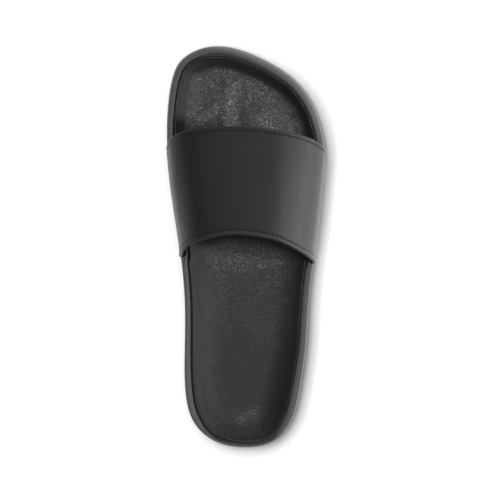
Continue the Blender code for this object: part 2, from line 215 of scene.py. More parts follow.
def start_material(name, sockets):
    """A material whose shader holds the given constant values."""
    material = bpy.data.materials.new(name)
    material.use_nodes = True
    shader = material.node_tree.nodes["Principled BSDF"]
    for socket, value in sockets.items():
        shader.inputs[socket].default_value = value
    return material, material.node_tree, shader


def wave_scale(pitch):
    """Scale of a wave texture whose bands repeat at a distance."""
    return 2 * math.pi / (20 * pitch)


def deselect():
    for piece in bpy.context.view_layer.objects:
        piece.select_set(False)


def pick(piece):
    """Make one object the only selected and active one."""
    deselect()
    piece.select_set(True)
    bpy.context.view_layer.objects.active = piece


def new_piece(name, mesh):
    piece = bpy.data.objects.new(name, mesh)
    bpy.context.scene.collection.objects.link(piece)
    return piece


def settle(piece, slot, *nodes):
    """Tie a finished piece to the frame: its body, its finish and the solid that it stands for."""
    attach(piece, BODY)
    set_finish(piece, slot)
    if nodes:
        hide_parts(*nodes)


def points_of(mesh):
    found = np.empty(len(mesh.vertices) * 3)
    mesh.vertices.foreach_get("co", found)
    return found.reshape(-1, 3)


def normals_of(mesh):
    found = np.empty(len(mesh.vertices) * 3)
    mesh.vertex_normals.foreach_get("vector", found)
    return found.reshape(-1, 3)


def set_points(mesh, points):
    mesh.vertices.foreach_set("co", np.asarray(points, float).ravel())
    mesh.update()


def set_attribute(mesh, name, values):
    """Store a value at each point, for a material to read."""
    layer = mesh.attributes.new(name, "FLOAT", "POINT")
    layer.data.foreach_set("value", values.astype(np.float32))


def merged_copy(node, name):
    """A copy of a solid with its loose triangles merged and joined into quads."""
    piece = new_piece(name, frame["nodes"][node].data.copy())
    piece.data.materials.clear()
    pick(piece)
    bpy.ops.mesh.customdata_custom_splitnormals_clear()
    bpy.ops.object.mode_set(mode="EDIT")
    bpy.ops.mesh.select_all(action="SELECT")
    bpy.ops.mesh.remove_doubles(threshold=MERGE)
    bpy.ops.mesh.tris_convert_to_quads(face_threshold=math.pi, shape_threshold=math.pi)
    bpy.ops.mesh.normals_make_consistent(inside=False)
    bpy.ops.object.mode_set(mode="OBJECT")
    return piece


def crease_edges(mesh, angle, sharpness):
    """Hold the edges that turn by more than an angle when the mesh is subdivided."""
    bm = bmesh.new()
    bm.from_mesh(mesh)
    crease = bm.edges.layers.float.get("crease_edge") or bm.edges.layers.float.new("crease_edge")
    for edge in bm.edges:
        if len(edge.link_faces) == 2 and edge.calc_face_angle(0) > angle:
            edge[crease] = sharpness
    bm.to_mesh(mesh)
    bm.free()


def subdivide(piece, levels):
    """Apply a subdivision surface."""
    pick(piece)
    rounder = piece.modifiers.new("Rounder", "SUBSURF")
    rounder.levels = levels
    rounder.render_levels = levels
    bpy.ops.object.modifier_apply(modifier=rounder.name)


def smooth_shade(piece, angle):
    pick(piece)
    bpy.ops.object.shade_smooth_by_angle(angle=angle)


def ease(t):
    t = np.clip(t, 0, 1)
    return t * t * (3 - 2 * t)


def ramp(value, start, end):
    """0 at the start, 1 at the end, soft between and level past them. The end may be the smaller."""
    return ease((value - start) / (end - start))


def hump(distance, width):
    """A soft bell, 1 at its middle."""
    return np.exp(-((distance / width) ** 2))


def run_along(points):
    """Length run along a line of points, at each of them."""
    return np.concatenate([[0], np.cumsum(np.linalg.norm(np.diff(points, axis=0), axis=1))])


def blurred(values, spread, axis):
    """Values smoothed along an axis by a bell of so many samples."""
    reach = int(math.ceil(spread * 3))
    weights = hump(np.arange(-reach, reach + 1), spread * math.sqrt(2))
    weights /= weights.sum()
    pads = [(reach, reach) if k == axis else (0, 0) for k in range(values.ndim)]
    padded = np.pad(values, pads, mode="reflect", reflect_type="odd")
    return np.apply_along_axis(lambda row: np.convolve(row, weights, mode="valid"), axis, padded)


# The strap is measured in turns round a line along the foot. Its ends lie so much of a turn below that line
AXIS_X = 0.0
AXIS_Z = 0.020
END_TURN = math.radians(9.4)

# Columns and rows of the strap's new mesh, and how often each column is sounded along the foot
STRAP_COLUMNS = 300
BEND_COLUMNS = 6
MARGIN_COLUMNS = 3
BODY_ROWS = 30
SOUNDINGS = 26

# Distances from a rim, in millimetres, at which the mesh has a row of points
HEM_STOPS = (0.0, 0.10, 0.30, 0.60, 1.0, 1.5, 2.1, 2.7, 3.0, 3.3, 3.6, 3.9, 4.3, 4.8, 5.6, 6.8, 8.4)

# Smoothing of the solid's facets: in columns along the rims and round the arch, in soundings along the foot
RIM_BLUR = 3
ARCH_BLUR = STRAP_COLUMNS / 42
FOOT_BLUR = 1.0

# The soundings stop this many hem widths short of the rims
SOUNDED_FROM = 1.6

# A point well outside the strap, from its line, and the height under which its seats in the pockets lie
FAR_OUT = 0.2
SEAT_HEIGHT = 0.012

# The strap's ends: length of the margin between midsole and outsole, and radius inside the bend
MARGIN_LENGTH = 0.0070
INNER_BEND = 0.0006

# The hem: widths in which its fold rises at the rim and ends past the stitch line, half width of the stitch
# groove, how unevenly the stitches pull it in, and height, place and half width of the puff behind it
FOLD_START = 0.0009
FOLD_END = 0.0008
GROOVE_WIDTH = 0.00045
PULL_SHARE = 0.25
PUFF = 0.00018
PUFF_PLACE = 0.0058
PUFF_WIDTH = 0.0022

# The rims' rounding: its radius and how nearly it is a full circle
RIM_RADIUS = 0.0011
ROUNDNESS = 0.96

# The inner face: share of the fold that shows there, how much deeper the lining lies, and its edge's width
INNER_FOLD = 0.6
LINING_DROP = 0.00025
LINING_FADE = 0.0003

# Softness of the inner border of the rear hem's paler colour, which is partly rubbing and partly painted
# sheen
HEM_FADE = 0.0005


def polar(points):
    """The turn of each point round the strap's line, 0 to the lateral side and pi to the medial one."""
    return np.arctan2(points[:, 2] - AXIS_Z, points[:, 0] - AXIS_X) % (2 * np.pi)


def strap_rims(mesh):
    """Where the strap's rear and front rims lie along the foot, at each turn of its faces."""
    points = points_of(mesh)
    rims = []
    for way in (-1, 1):
        chosen = {}
        for face in mesh.polygons:
            if face.normal.y * way > 0.7:
                for k in face.vertices:
                    turn = polar(points[k : k + 1])[0]
                    turn = turn - 2 * np.pi if turn > 1.5 * np.pi else turn
                    chosen[round(turn, 3)] = points[k][1]
        turns = np.array(sorted(chosen))
        rims.append((turns, np.array([chosen[t] for t in turns])))
    return rims


def search_tree(mesh):
    return BVHTree.FromPolygons([v.co for v in mesh.vertices], [f.vertices[:] for f in mesh.polygons])


class StrapForm:
    """The strap's outer and inner faces as smooth functions of turn and place along the foot."""

    def __init__(self):
        mesh = frame["nodes"]["strap"].data
        self.tree = search_tree(mesh)
        self.rear, self.front = strap_rims(mesh)
        seats = [f for f in mesh.polygons if f.normal.z < -0.9 and f.center.z < SEAT_HEIGHT]
        places = sorted((f.center.y, min(mesh.vertices[k].co.z for k in f.vertices)) for f in seats)
        self.seat_y, self.seat_z = np.array(places).T

    def edges(self, turns):
        rear = blurred(np.interp(turns, *self.rear), RIM_BLUR, 0)
        front = blurred(np.interp(turns, *self.front), RIM_BLUR, 0)
        return rear, front

    def reach(self, turn, y, outside):
        """Distance from the strap's line to one of its faces."""
        ray = Vector((math.cos(turn), 0, math.sin(turn)))
        middle = Vector((AXIS_X, y, AXIS_Z))
        if outside:
            spot = self.tree.ray_cast(middle + ray * FAR_OUT, -ray)[0]
        else:
            spot = self.tree.ray_cast(middle, ray)[0]
        return (spot - middle).length if spot else math.nan


def fill_gaps(rows):
    """Missing soundings taken from their neighbours along the foot."""
    for row in rows:
        there = ~np.isnan(row)
        if there.any() and not there.all():
            row[~there] = np.interp(np.flatnonzero(~there), np.flatnonzero(there), row[there])
    return rows


def strap_sheets():
    """The solid strap sounded at even turns: the turns, its rims, the soundings' inset, and how far its faces
    lie from its line."""
    form = StrapForm()
    turns = np.linspace(-END_TURN, math.pi + END_TURN, STRAP_COLUMNS)
    rear, front = form.edges(turns)
    inset = look().strap.hem * SOUNDED_FROM
    outer, inner = np.empty((2, STRAP_COLUMNS, SOUNDINGS))
    for i, turn in enumerate(turns):
        for j, y in enumerate(np.linspace(rear[i] + inset, front[i] - inset, SOUNDINGS)):
            outer[i, j] = form.reach(turn, y, True)
            inner[i, j] = form.reach(turn, y, False)
    outer = blurred(blurred(fill_gaps(outer), ARCH_BLUR, 0), FOOT_BLUR, 1)
    inner = blurred(blurred(fill_gaps(inner), ARCH_BLUR, 0), FOOT_BLUR, 1)
    return form, turns, rear, front, inset, outer, inner


def row_stops(length):
    """Distances from the rear rim at which the strap has a row of points."""
    hem = np.array(HEM_STOPS) / 1000
    body = np.linspace(hem[-1], length - hem[-1], BODY_ROWS + 2)[1:-1]
    return np.concatenate([hem, body, length - hem[::-1]])


def stitch_row():
    """The row of points nearest to the stitch line, counted from a rim."""
    return int(np.argmin(np.abs(np.array(HEM_STOPS) / 1000 - look().strap.hem)))


def hem_profile(distance, along_run, choice):
    """How far the outer face stands off the plain strap, by distance from the rim."""
    fold = choice.fold * ramp(distance, choice.hem + FOLD_END, choice.hem) * ramp(distance, 0, FOLD_START)
    pull = 1 - PULL_SHARE + PULL_SHARE * np.cos(2 * np.pi * along_run / choice.pitch)
    groove = choice.groove * pull * hump(distance - choice.hem, GROOVE_WIDTH)
    return fold - groove + PUFF * hump(distance - PUFF_PLACE, PUFF_WIDTH)


def rim_round(distance):
    """How far a face draws back as it rounds into the rim, as a share of half the strap's thickness."""
    t = np.clip(1 - distance / RIM_RADIUS, 0, 1)
    return 1 - np.sqrt(1 - t * t * ROUNDNESS)


# Soft troughs and swells of the worn strap: turn, place along the foot, half widths of both, and height
STRAP_FOLDS = (
    (math.radians(38), 0.038, math.radians(10), 0.030, -0.00028),
    (math.radians(62), 0.030, math.radians(9), 0.034, 0.00022),
    (math.radians(96), 0.046, math.radians(14), 0.028, -0.00020),
    (math.radians(131), 0.036, math.radians(9), 0.034, 0.00025),
    (math.radians(149), 0.030, math.radians(7), 0.030, -0.00022),
)


def strap_unevenness(turns, y):
    """The gentle waviness that padding and glue leave in a strap."""
    found = np.zeros_like(y)
    for turn, place, turn_width, place_width, height in STRAP_FOLDS:
        found += height * hump(turns - turn, turn_width) * hump(y - place, place_width)
    return found


def strap_grid():
    """Points of the strap's outer and inner face, and their distance to the nearer rim."""
    form, turns, rear, front, inset, outer, inner = strap_sheets()
    choice = look().strap
    middle = outer[:, SOUNDINGS // 2]
    run = run_along(np.column_stack([np.cos(turns) * middle, np.sin(turns) * middle]))
    faces = {"outer": [], "inner": []}
    rims = []
    for i, turn in enumerate(turns):
        length = front[i] - rear[i]
        stops = row_stops(length)
        y = rear[i] + stops
        rim = np.minimum(stops, length - stops)
        sounded = np.linspace(rear[i] + inset, front[i] - inset, SOUNDINGS)
        out = np.interp(y, sounded, outer[i])
        inn = np.interp(y, sounded, inner[i])
        drawn = (out - inn) / 2 * rim_round(rim)
        out = out + hem_profile(rim, run[i], choice) + strap_unevenness(turn, y) - drawn
        lining = LINING_DROP * ramp(rim, choice.hem, choice.hem + LINING_FADE)
        inn = inn - choice.fold * INNER_FOLD + lining + drawn
        for name, reach in (("outer", out), ("inner", inn)):
            x = AXIS_X + np.cos(turn) * reach
            z = AXIS_Z + np.sin(turn) * reach
            faces[name].append(np.column_stack([x, y, z]))
        rims.append(rim)
    return form, np.array(faces["outer"]), np.array(faces["inner"]), np.array(rims)


def turned_in(form, outer, inner, side):
    """Columns past one end of the strap, where it bends under and runs in between midsole and outsole."""
    last_out, last_in = outer[side], inner[side]
    out = 1.0 if side == 0 else -1.0
    seat = np.interp(last_out[:, 1], form.seat_y, form.seat_z)
    thick = np.abs(last_out[:, 0] - last_in[:, 0])
    outer_radius = thick + INNER_BEND
    centre_x = last_out[:, 0] - out * outer_radius
    centre_z = seat + outer_radius
    found = []
    for k in range(BEND_COLUMNS + 1):
        angle = k / BEND_COLUMNS * math.pi / 2
        column = []
        for radius in (outer_radius, np.full_like(thick, INNER_BEND)):
            x = centre_x + out * np.cos(angle) * radius
            z = centre_z - np.sin(angle) * radius
            column.append(np.column_stack([x, last_out[:, 1], z]))
        found.append(column)
    under_out, under_in = found[-1]
    for k in range(1, MARGIN_COLUMNS + 1):
        step = np.array([-out * MARGIN_LENGTH * k / MARGIN_COLUMNS, 0, 0])
        found.append([under_out + step, under_in + step])
    return found


def sheet_faces(outer_ids, inner_ids):
    """Quads over both faces of a wall and round its rims and ends."""
    quads = []
    columns, rows = outer_ids.shape
    for ids, flip in ((outer_ids, False), (inner_ids, True)):
        a, b, c, d = ids[:-1, :-1], ids[:-1, 1:], ids[1:, 1:], ids[1:, :-1]
        block = np.stack([a, b, c, d], axis=-1).reshape(-1, 4)
        quads.append(block[:, ::-1] if flip else block)
    for row, flip in ((0, True), (rows - 1, False)):
        a, b = outer_ids[:-1, row], outer_ids[1:, row]
        c, d = inner_ids[1:, row], inner_ids[:-1, row]
        block = np.stack([a, b, c, d], axis=-1)
        quads.append(block[:, ::-1] if flip else block)
    for column, flip in ((0, False), (columns - 1, True)):
        a, b = outer_ids[column, :-1], outer_ids[column, 1:]
        c, d = inner_ids[column, 1:], inner_ids[column, :-1]
        block = np.stack([a, b, c, d], axis=-1)
        quads.append(block[:, ::-1] if flip else block)
    return np.concatenate(quads)


def wall_mesh(name, outer, inner):
    """A closed wall between two grids of points."""
    columns, rows = outer.shape[:2]
    points = np.concatenate([outer.reshape(-1, 3), inner.reshape(-1, 3)])
    ids = np.arange(columns * rows).reshape(columns, rows)
    quads = sheet_faces(ids, ids + columns * rows)
    mesh = bpy.data.meshes.new(name)
    mesh.from_pydata(points.tolist(), [], quads.tolist())
    mesh.update()
    return mesh


def make_normals_outward(piece):
    pick(piece)
    bpy.ops.object.mode_set(mode="EDIT")
    bpy.ops.mesh.select_all(action="SELECT")
    bpy.ops.mesh.normals_make_consistent(inside=False)
    bpy.ops.object.mode_set(mode="OBJECT")


# Sizes of the finishes' patterns in metres. The sole's grit and the paper's fibres are too fine to show in
# the render, so they are drawn several times as coarse as they are
RUBBED_PATCH = 0.012
PEBBLE_DEPTH = 0.00005
RIB_DEPTH = 0.00018
THREAD_PLY = 0.0004
PLY_DEPTH = 0.0001
WRINKLE_BEND = 0.0060
WRINKLE_SWING = (0.0036, 0.0036, 0.0)
WRINKLE_STRETCH = (0.45, 1.0, 1.0)
SPARK_DEPTH = 0.00012
TREAD_DEPTH = 0.0003
GRIT_SHARE = 0.2
PAPER_FIBRE = 0.004

# The paper's contact shadow: how far it reaches, the way that it looks for the shoe, and how bright the
# paper is where it is seen in the shoe or lights it
SHADOW_REACH = 0.0105
SHADOW_WAY = {"X": -0.73, "Y": 0.29, "Z": 0.60}
BOUNCED_LEVEL = 0.68


def dress(tree, shader, share, first, second, relief=None):
    """Tint a surface between two colours by a share, and give it its relief if it has one.

    A colour mix has its factor at input 0, its colours at 6 and 7 and its result at output 2."""
    tints = {0: share, 6: (*first, 1), 7: (*second, 1)}
    colour = add_node(tree, "Mix", tints, data_type="RGBA")
    tree.links.new(colour.outputs[2], shader.inputs["Base Color"])
    if relief:
        bump = add_node(tree, "Bump", relief)
        tree.links.new(bump.outputs["Normal"], shader.inputs["Normal"])


def coated_leather():
    """Microfibre leather with a smooth polyurethane coat: a dark, even colour under a soft satin gloss.

    The coat's fine pebble grain spreads highlights into broad gradients. The rear hem is painted paler:
    partly rubbing, partly painted sheen where its rounded fold faces the bright room behind the heel."""
    choice = look().strap
    material, tree, shader = start_material("coated_leather", {
        "Roughness": 0.34,
        "IOR": 1.45,
        "Specular IOR Level": 0.3,
        "Metallic": 0.0,
    })
    place = add_node(tree, "TexCoord").outputs["Object"]
    mottle = add_node(tree, "TexNoise", {"Vector": place, "Scale": 1 / RUBBED_PATCH, "Detail": 3})
    hem = add_node(tree, "Attribute", attribute_name="hem").outputs["Fac"]
    uneven = add_node(tree, "MapRange", {"Value": mottle.outputs["Fac"], "To Min": 0.75, "To Max": 1.1})
    # The rear hem is painted paler, partly for rubbing and partly as painted sheen
    rubbed_and_sheen = add_node(tree, "Math", {0: hem, 1: uneven}, operation="MULTIPLY")
    pebble = add_node(tree, "TexVoronoi", {"Vector": place, "Scale": 1 / choice.grain}, feature="SMOOTH_F1")
    relief = {"Strength": 0.30, "Distance": PEBBLE_DEPTH, "Height": pebble.outputs["Distance"]}
    dress(tree, shader, rubbed_and_sheen, choice.leather, choice.hem_rub_and_sheen, relief)
    return material


def knitted_lining():
    """Brushed polyester tricot glued under the strap: matt, with fine ribs along the foot."""
    choice = look().strap
    material, tree, shader = start_material("knitted_lining", {
        "Roughness": 0.92,
        "Sheen Weight": 0.25,
        "Sheen Roughness": 0.5,
        "Specular IOR Level": 0.3,
    })
    run = add_node(tree, "UVMap", uv_map="strap_run").outputs["UV"]
    ribs = add_node(
        tree, "TexWave",
        {"Vector": run, "Scale": wave_scale(choice.rib), "Distortion": 0.6, "Detail": 2, "Detail Scale": 3},
    )
    shaded = tuple(c * 0.7 for c in choice.lining)
    relief = {"Strength": 0.8, "Distance": RIB_DEPTH, "Height": ribs.outputs["Fac"]}
    dress(tree, shader, ribs.outputs["Fac"], shaded, choice.lining, relief)
    return material


def sewing_thread():
    """Bonded polyester thread: slightly glossy, and uneven with the twist of its plies."""
    choice = look().strap
    material, tree, shader = start_material("sewing_thread", {"Roughness": 0.55, "IOR": 1.5})
    place = add_node(tree, "TexCoord").outputs["Object"]
    ply = add_node(tree, "TexNoise", {"Vector": place, "Scale": 1 / THREAD_PLY, "Detail": 1})
    shaded = tuple(c * 0.7 for c in choice.thread)
    relief = {"Strength": 0.5, "Distance": PLY_DEPTH, "Height": ply.outputs["Fac"]}
    dress(tree, shader, ply.outputs["Fac"], shaded, choice.thread, relief)
    return material


def grained_foam():
    """Moulded EVA foam with an embossed leather grain: charcoal, low gloss, its crests shinier and paler,
    partly from rubbing and partly as painted sheen.

    The wrinkles are where a noise is near its middle value. Its coordinates are bent, so that they wander,
    and stretched, so that they run more across the foot than along it."""
    choice = look().footbed
    material, tree, shader = start_material("grained_foam", {"IOR": 1.46, "Metallic": 0.0})
    place = add_node(tree, "TexCoord").outputs["Object"]
    strength = add_node(tree, "Attribute", attribute_name="grain").outputs["Fac"]
    drift = add_node(tree, "TexNoise", {"Vector": place, "Scale": 1 / WRINKLE_BEND, "Detail": 1})
    shift = add_node(tree, "VectorMath", {0: drift.outputs["Color"], 1: WRINKLE_SWING}, operation="MULTIPLY")
    bent = add_node(tree, "VectorMath", {0: place, 1: shift}, operation="ADD")
    long = add_node(tree, "VectorMath", {0: bent, 1: WRINKLE_STRETCH}, operation="MULTIPLY")
    wrinkle = add_node(
        tree, "TexNoise",
        {"Vector": long, "Scale": 1 / choice.grain, "Detail": 1, "Roughness": 0.5},
    )
    middle = add_node(tree, "Math", {0: wrinkle.outputs["Fac"], 1: 0.5}, operation="SUBTRACT")
    away = add_node(tree, "Math", {0: middle}, operation="ABSOLUTE")
    crest = add_node(
        tree, "MapRange", {"Value": away, "From Min": 0.09, "From Max": 0.01},
        interpolation_type="SMOOTHSTEP",
    )
    height = add_node(tree, "Math", {0: crest, 1: strength}, operation="MULTIPLY")
    # Patches of paler crests: partly wear, partly painted sheen
    patches = add_node(tree, "TexNoise", {"Vector": place, "Scale": 1 / RUBBED_PATCH, "Detail": 2})
    wear_and_light = add_node(tree, "Math", {0: crest, 1: patches.outputs["Fac"]}, operation="MULTIPLY")
    streak = add_node(tree, "MapRange", {"Value": wear_and_light, "From Max": 0.6, "To Min": 0.13, "To Max": 0.75})
    rubbed_and_sheen = add_node(tree, "Math", {0: streak, 1: strength}, operation="MULTIPLY")
    gloss = add_node(tree, "MapRange", {"Value": rubbed_and_sheen, "To Min": 0.64, "To Max": 0.40})
    tree.links.new(gloss.outputs[0], shader.inputs["Roughness"])
    relief = {"Strength": 1.0, "Distance": choice.depth, "Height": height}
    dress(tree, shader, rubbed_and_sheen, choice.foam, choice.crest, relief)
    return material


def sparked_foam():
    """Moulded EVA foam from a spark-eroded mould: dry with a fine grit like sand. Its steep side is painted
    paler, partly for the grit and partly as a painted reflection of the bright floor.
    """
    choice = look().sole
    material, tree, shader = start_material("sparked_foam", {"Roughness": 0.62, "IOR": 1.49})
    place = add_node(tree, "TexCoord").outputs["Object"]
    grit = add_node(
        tree, "TexNoise", {"Vector": place, "Scale": 1 / choice.spark, "Detail": 3, "Roughness": 0.7}
    )
    tone = add_node(
        tree, "MapRange",
        {"Value": grit.outputs["Fac"], "From Min": 0.35, "From Max": 0.65, "To Min": 0.5, "To Max": 1.5},
    )
    side = add_node(tree, "Attribute", attribute_name="side").outputs["Fac"]
    # The side's paler colour: partly grit, partly a painted reflection of the floor
    sand_and_sheen = add_node(tree, "Math", {0: tone, 1: side}, operation="MULTIPLY")
    relief = {"Strength": 0.8, "Distance": SPARK_DEPTH, "Height": grit.outputs["Fac"]}
    dress(tree, shader, sand_and_sheen, choice.foam, choice.side, relief)
    return material


def blown_rubber():
    """Blown rubber of the outsole: matt, its upper bevel painted pale as a highlight, with fine ribs
    underneath for grip.
    """
    choice = look().sole
    material, tree, shader = start_material("blown_rubber", {"Roughness": 0.40, "IOR": 1.52})
    place = add_node(tree, "TexCoord").outputs["Object"]
    grit = add_node(tree, "TexNoise", {"Vector": place, "Scale": 1 / choice.spark, "Detail": 3})
    uneven = add_node(tree, "MapRange", {"Value": grit.outputs["Fac"], "To Min": 0.8, "To Max": 1.1})
    bevel = add_node(tree, "Attribute", attribute_name="bevel").outputs["Fac"]
    # Painted highlight on the upper bevel
    painted_highlight = add_node(tree, "Math", {0: bevel, 1: uneven}, operation="MULTIPLY")
    ribs = add_node(
        tree, "TexWave", {"Vector": place, "Scale": wave_scale(choice.tread)}, bands_direction="Y"
    )
    under = add_node(tree, "Attribute", attribute_name="under").outputs["Fac"]
    tread = add_node(tree, "Math", {0: ribs.outputs["Fac"], 1: under}, operation="MULTIPLY")
    height = add_node(
        tree, "Math", {0: grit.outputs["Fac"], 1: GRIT_SHARE, 2: tread},
        operation="MULTIPLY_ADD",
    )
    relief = {"Strength": 1.0, "Distance": TREAD_DEPTH, "Height": height}
    dress(tree, shader, painted_highlight, choice.rubber, choice.bevel, relief)
    return material


def seamless_paper():
    """Matt white background paper: it scatters the light evenly and shows only the softest shadow.

    It darkens close to the shoe on one side, because no single lamp throws the studio's contact shadow."""
    material, tree, shader = start_material("seamless_paper", {"Roughness": 0.9, "Specular IOR Level": 0.1})
    place = add_node(tree, "TexCoord").outputs["Object"]
    fibre = add_node(tree, "TexNoise", {"Vector": place, "Scale": 1 / PAPER_FIBRE, "Detail": 3})
    way = add_node(tree, "CombineXYZ", SHADOW_WAY).outputs[0]
    near = add_node(tree, "AmbientOcclusion", {"Distance": SHADOW_REACH, "Normal": way}, samples=24)
    seen = add_node(tree, "LightPath").outputs["Is Camera Ray"]
    level = add_node(tree, "MapRange", {"Value": seen, "To Min": BOUNCED_LEVEL, "To Max": 1.0})
    uneven = add_node(tree, "MapRange", {"Value": fibre.outputs["Fac"], "To Min": 0.99, "To Max": 1.0})
    lit = add_node(tree, "Math", {0: near.outputs["AO"], 1: level}, operation="MULTIPLY")
    share = add_node(tree, "Math", {0: lit, 1: uneven}, operation="MULTIPLY")
    dress(tree, shader, share, (0, 0, 0), look().studio.paper)
    return material


# Where the strap covers the rim, along the foot, at the lateral and the medial side, and how softly the
# rim's changes end before it
COVERED_FROM = (-0.0110, -0.0065)
COVERED_TO = (0.0670, 0.0740)
COVER_FADE = 0.0045

# Height of the lip's rounding above the top of the footbed's upright edge
LIP_ROUND = 0.0007

# Spacing of the points on the footbed's outline, and how many of them on each side give its direction
OUTLINE_STEP = 0.0004
OUTLINE_REACH = 4

# Where the changes of the rim go from none to full. Ways are parts of the direction outwards in plan, outs
# are distances outside the footbed's outline, and depths lie below its lip
MEDIAL_WAYS = (-0.10, -0.45)
HEEL_WAYS = (-0.45, -0.95)
RIM_OUT = (0.0034, 0.0014)
LIP_OUT = (-0.0065, -0.0015)
TOP_DEPTH = (0.0045, 0.0015)
CLOSED_DEPTH = (0.0060, 0.0040)
BASIN_UP = (0.05, 0.30)
BASIN_OUT = (-0.0140, -0.0015)
BASIN_DEPTH = (0.0125, 0.0015)
LEDGE_OUT = (-0.0006, -0.0001)
LEDGE_DEPTH = (0.00045, 0.00085)

# Depth down to which the ledge is full, depth at which it is gone, and depth at which the rim's inner wall
# behind the heel stays where it was
LEDGE_FULL = 0.0010
LEDGE_GONE = 0.0040
HEEL_WALL = 0.020

# The midsole's own wall starts so far outside the outline. Shares of the groove that its rim closes
WALL_OUT = 0.0004
MEDIAL_CLOSING = 0.30
LATERAL_CLOSING = 0.84

# The filled lip's corner: place and half width, depths, how far it is raised and how far it is spread
CORNER_OUT = -0.00015
CORNER_WIDTH = 0.00045
CORNER_DEPTH = (0.0016, 0.0008)
CORNER_RISE = 0.00036
CORNER_SPREAD = 0.00012

# The foot of the midsole's wall: heights over the outsole and outs between which it is drawn in, distances
# from the sole's middle towards its ends, and how much more it is drawn in there
TUCK_HEIGHT = (0.0120, 0.0)
TUCK_OUT = (0.0015, 0.0030)
TUCK_ENDS = (0.070, 0.110)
ENDS_TUCK = 0.45


class RimLine:
    """The footbed's outline in plan: how far outside it and how far below its lip a point lies."""

    def __init__(self):
        mesh = frame["nodes"]["footbed"].data
        tops = {}
        for face in mesh.polygons:
            if abs(face.normal.z) < 0.3:
                for k in face.vertices:
                    x, y, z = mesh.vertices[k].co
                    spot = (round(x, 4), round(y, 4))
                    tops[spot] = max(z, tops.get(spot, 0.0))
        spots = sorted(tops, key=lambda spot: math.atan2(*spot))
        closed = np.array([(*spot, tops[spot]) for spot in spots + spots[:1]])
        run = run_along(closed[:, :2])
        steps = np.arange(0, run[-1], OUTLINE_STEP)
        self.line = np.column_stack([np.interp(steps, run, closed[:, k]) for k in range(3)])
        plan = self.line[:, :2]
        along = np.roll(plan, -OUTLINE_REACH, axis=0) - np.roll(plan, OUTLINE_REACH, axis=0)
        along /= np.linalg.norm(along, axis=1)[:, None]
        self.ways = np.column_stack([-along[:, 1], along[:, 0]])
        self.tree = KDTree(len(self.line))
        for k, (x, y, z) in enumerate(self.line):
            self.tree.insert((x, y, 0), k)
        self.tree.balance()

    def measure(self, points):
        """Distance outside the outline, depth below the lip and the way outwards, for each point."""
        near = np.array([self.tree.find((x, y, 0))[1] for x, y, z in points])
        ways = self.ways[near]
        out = np.sum((points[:, :2] - self.line[near, :2]) * ways, axis=1)
        return out, self.line[near, 2] + LIP_ROUND - points[:, 2], ways


def rim_shares(ways, y):
    """Three shares: 1 at the medial side and inner heel, 1 behind the heel, 1 where no strap covers it."""
    rear, front = (np.where(ways[:, 0] > 0, *ends) for ends in (COVERED_FROM, COVERED_TO))
    cover = ramp(y, rear - COVER_FADE, rear) * ramp(y, front + COVER_FADE, front)
    return ramp(ways[:, 0], *MEDIAL_WAYS), ramp(ways[:, 1], *HEEL_WAYS), 1 - cover


def shift_in_plan(mesh, points, ways, amount):
    points[:, :2] += ways * amount[:, None]
    set_points(mesh, points)


def thin_midsole_rim(mesh):
    """Move the midsole's inner rim: outwards on the medial side and behind the heel, where its wall gets
    steeper, and up to the footbed elsewhere."""
    points = points_of(mesh)
    out, depth, ways = RimLine().measure(points)
    medial, heel, bare = rim_shares(ways, points[:, 1])
    inner_rim = ramp(out, *RIM_OUT)
    top = ramp(depth, *TOP_DEPTH)
    steep = np.where(out > WALL_OUT, np.clip(1 - depth / HEEL_WALL, 0, 1), top)
    shift = medial * (1 - heel) * look().footbed.rim_shift * inner_rim * top
    shift += heel * look().footbed.heel_shift * steep
    closing = (MEDIAL_CLOSING * medial + LATERAL_CLOSING * (1 - medial)) * np.clip(out, 0, None) * inner_rim
    shift_in_plan(mesh, points, ways, bare * (shift - closing * ramp(depth, *CLOSED_DEPTH)))


def tuck_midsole_foot(mesh):
    """Draw the foot of the midsole's wall in, so that the outsole's edge shows as a ledge round it."""
    points = points_of(mesh)
    out, _, ways = RimLine().measure(points)
    bare = rim_shares(ways, points[:, 1])[2]
    tree = search_tree(frame["nodes"]["outsole"].data)
    height = np.array([tree.find_nearest(point)[3] for point in points])
    low = ramp(height, *TUCK_HEIGHT) * ramp(out, *TUCK_OUT)
    ends = ramp(np.abs(points[:, 1]), *TUCK_ENDS)
    shift_in_plan(mesh, points, ways, -look().sole.tuck * (1 + ENDS_TUCK * ends) * low * bare)


def widen_footbed_lip(mesh):
    """Follow the thin medial rim with the footbed's lip, put a ledge on the floor of the groove there, and
    fill the lip up to the rim elsewhere."""
    choice = look().footbed
    points = points_of(mesh)
    out, depth, ways = RimLine().measure(points)
    medial, heel, bare = rim_shares(ways, points[:, 1])
    lip = ramp(out, *LIP_OUT) * ramp(depth, *TOP_DEPTH)
    wall = ramp(normals_of(mesh)[:, 2], *BASIN_UP) * ramp(out, *BASIN_OUT) * ramp(depth, *BASIN_DEPTH)
    shift = medial * (1 - heel) * choice.rim_shift * lip + heel * choice.heel_shift * np.maximum(lip, wall)
    ledge = medial * choice.ledge * ramp(depth, *LEDGE_DEPTH) * ramp(out, *LEDGE_OUT)
    ledge *= np.clip((LEDGE_GONE - depth) / (LEDGE_GONE - LEDGE_FULL), 0, 1)
    corner = bare * (1 - medial) * hump(out - CORNER_OUT, CORNER_WIDTH) * ramp(depth, *CORNER_DEPTH)
    points[:, 2] += CORNER_RISE * corner
    shift_in_plan(mesh, points, ways, bare * (shift + ledge) + CORNER_SPREAD * corner)


# The outsole's bevel, painted pale as a highlight where it looks up, by how far it looks up and how far
# outside the footbed's outline it lies, and the parts that look down and have the fine tread
BEVEL_UP = (0.05, 0.40)
BEVEL_OUT = (0.0005, 0.0015)
UNDER_UP = (-0.7, -0.9)


